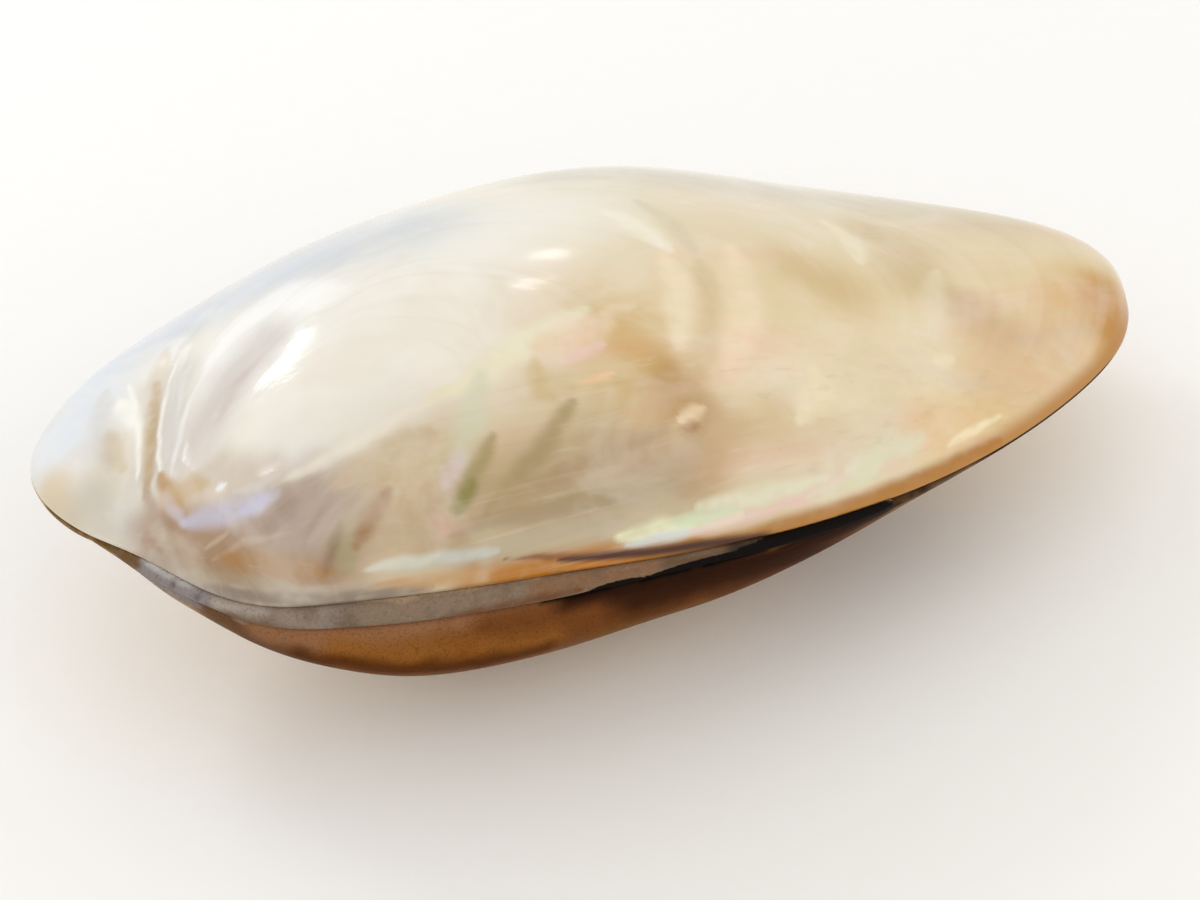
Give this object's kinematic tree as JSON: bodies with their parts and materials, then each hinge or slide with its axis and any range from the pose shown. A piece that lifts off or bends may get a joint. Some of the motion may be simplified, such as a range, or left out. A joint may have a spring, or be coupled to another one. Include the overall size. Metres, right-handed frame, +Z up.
{
  "type": "clam shell",
  "caption": "Closed pair of polished freshwater mussel valves with its ligament, lying on the lower valve, hinge side to the front.",
  "frame": {"origin": "centre of the bounding box at the level of the surface that the shell lies on", "axes": "+X towards the thin rear end, +Y from the hinge towards the far edge, +Z up out of the upper valve"},
  "size_m": [0.1596, 0.087, 0.0506],
  "materials": {
    "pale_nacre": "polished",
    "amber_nacre": "polished",
    "dried_ligament": "sanded"
  },
  "bodies": {
    "root": {"upper_valve": "pale_nacre", "lower_valve": "amber_nacre", "ligament": "dried_ligament"}
  },
  "joints": []
}
